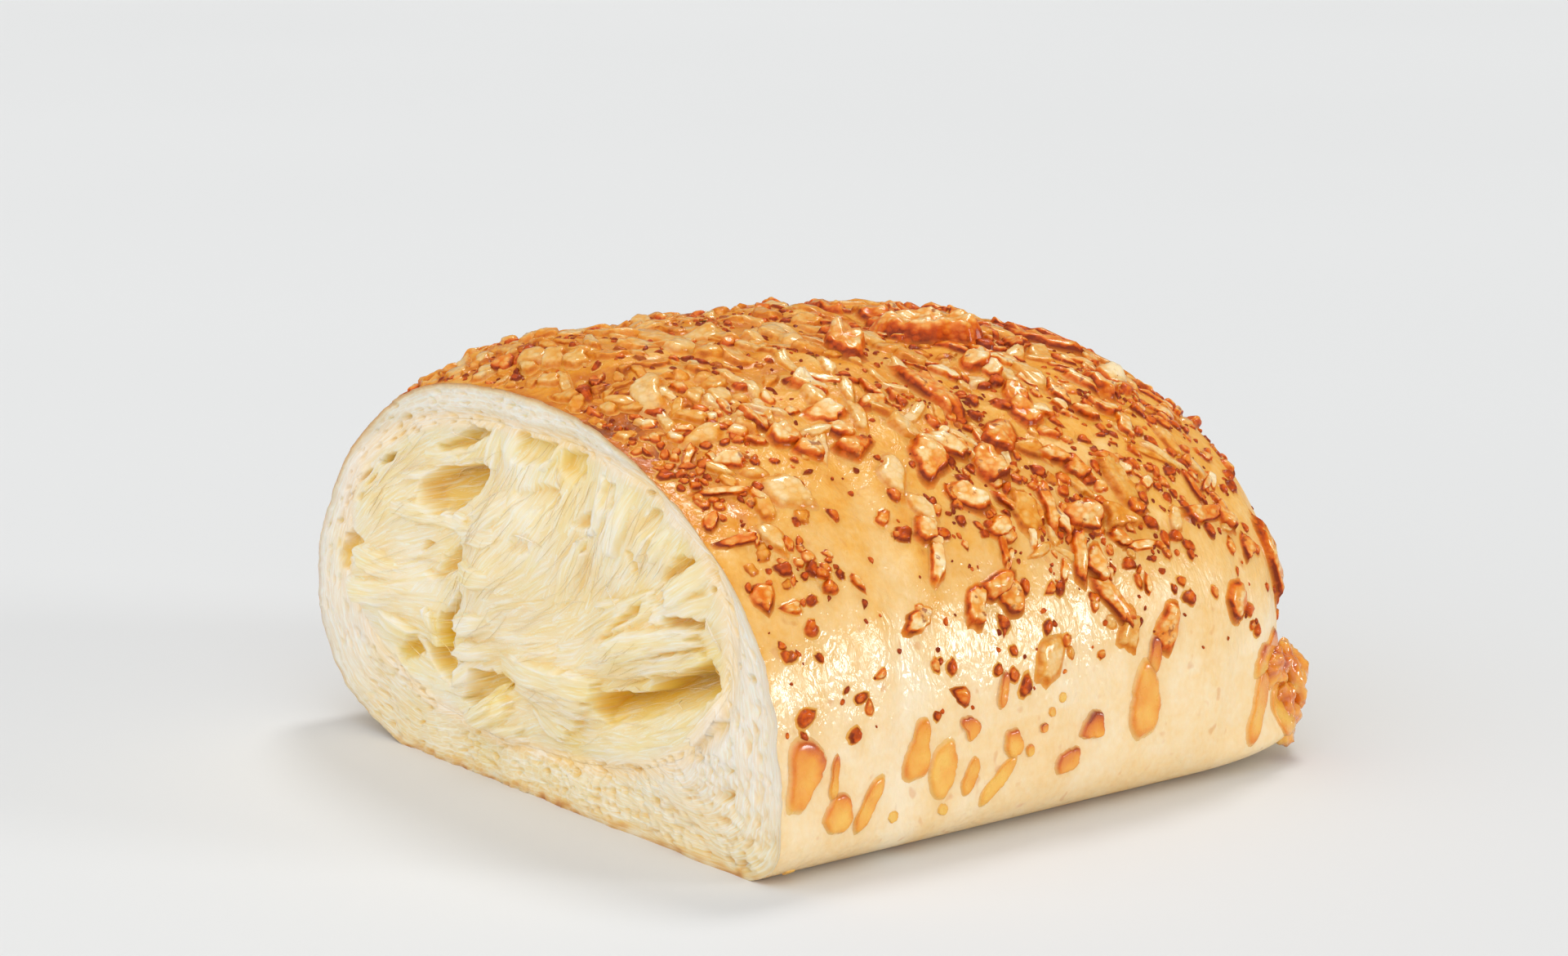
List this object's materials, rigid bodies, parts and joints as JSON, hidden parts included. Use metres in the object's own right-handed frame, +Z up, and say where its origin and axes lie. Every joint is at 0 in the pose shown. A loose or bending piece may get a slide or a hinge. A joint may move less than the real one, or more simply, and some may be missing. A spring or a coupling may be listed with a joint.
{
  "type": "cheese cachito half",
  "caption": "Half of a soft bread roll with grated cheese baked on its crust, cut across the middle to show the pulled, cheesy crumb inside.",
  "frame": {"origin": "middle of the bounding box in X and Y, on the plane that the flat base rests on", "axes": "+Z up, the cut face looks along -Y, the rounded end lies towards +Y, +X across the roll"},
  "size_m": [0.0848, 0.0846, 0.0481],
  "materials": {
    "crust": "satin",
    "filling": "matte"
  },
  "bodies": {
    "root": {"bread": "crust", "cheese_filling": "filling"}
  },
  "joints": []
}
